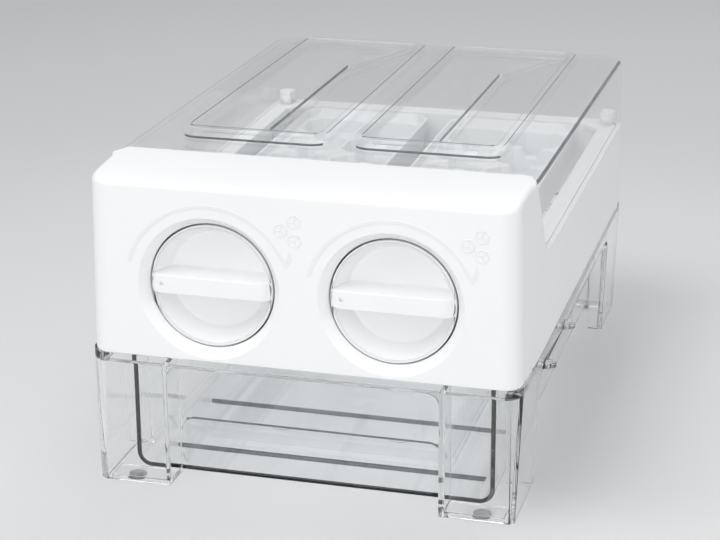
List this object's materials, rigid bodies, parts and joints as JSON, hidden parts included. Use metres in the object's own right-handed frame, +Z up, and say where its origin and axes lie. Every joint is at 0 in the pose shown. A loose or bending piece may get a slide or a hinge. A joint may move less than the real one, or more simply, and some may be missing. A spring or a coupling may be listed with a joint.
{
  "type": "twist ice maker",
  "caption": "Manual twist ice maker: white housing with two turn knobs and twin trays under a clear cover with fill troughs, on a clear stand with a sliding ice drawer.",
  "frame": {"origin": "middle of the footprint, on the shelf plane", "axes": "+X to the right seen from the front, +Y from the knobs towards the rear, +Z up"},
  "size_m": [0.2312, 0.32, 0.1707],
  "materials": {
    "housing_white": "satin moulded white",
    "tray_white": "satin moulded white",
    "clear_plastic": "polished clear moulded plastic",
    "bush_plastic": "natural acetal",
    "steel": "bright wire and screw steel",
    "silicone": "translucent silicone"
  },
  "bodies": {
    "stand": {"base_frame": "clear_plastic", "side_clips": "clear_plastic", "foot_pads": "silicone", "ice_tub": "clear_plastic", "drawer_guide_left": "clear_plastic", "drawer_guide_right": "clear_plastic", "upper_housing": "housing_white", "tray_carrier": "housing_white", "carrier_screws": "steel", "front_bush_left": "bush_plastic", "front_bush_right": "bush_plastic", "return_spring_left": "steel", "return_spring_right": "steel", "rear_bush_left": "bush_plastic", "rear_bush_right": "bush_plastic"},
    "cover": {"clear_cover": "clear_plastic"},
    "fill_left": {"fill_tray_left": "clear_plastic"},
    "fill_right": {"fill_tray_right": "clear_plastic"},
    "twist_left": {"knob_left": "housing_white", "drive_shaft_left": "bush_plastic", "knob_screw_left": "steel", "ice_tray_left": "tray_white"},
    "twist_right": {"knob_right": "housing_white", "drive_shaft_right": "bush_plastic", "knob_screw_right": "steel", "ice_tray_right": "tray_white"},
    "drawer": {"ice_drawer": "clear_plastic"}
  },
  "joints": [
    {"name": "knob_left_turn", "type": "hinge", "parent": "stand", "child": "twist_left", "pos_m": [-0.0457, -0.16, 0.1099], "axis": [0, 1, 0], "range_deg": [0, 150], "stiffness_Nm_per_rad": 0.02, "springref_deg": -28.65},
    {"name": "knob_right_turn", "type": "hinge", "parent": "stand", "child": "twist_right", "pos_m": [0.0457, -0.16, 0.1099], "axis": [0, 1, 0], "range_deg": [0, 150], "stiffness_Nm_per_rad": 0.02, "springref_deg": -28.65},
    {"name": "drawer_slide", "type": "slide", "parent": "stand", "child": "drawer", "axis": [0, -1, 0], "range_m": [0, 0.24]},
    {"name": "cover_lift", "type": "slide", "parent": "stand", "child": "cover", "axis": [0, 0, 1], "range_m": [0, 0.06]},
    {"name": "fill_left_lift", "type": "slide", "parent": "cover", "child": "fill_left", "axis": [0, 0, 1], "range_m": [0, 0.04]},
    {"name": "fill_right_lift", "type": "slide", "parent": "cover", "child": "fill_right", "axis": [0, 0, 1], "range_m": [0, 0.04]}
  ]
}
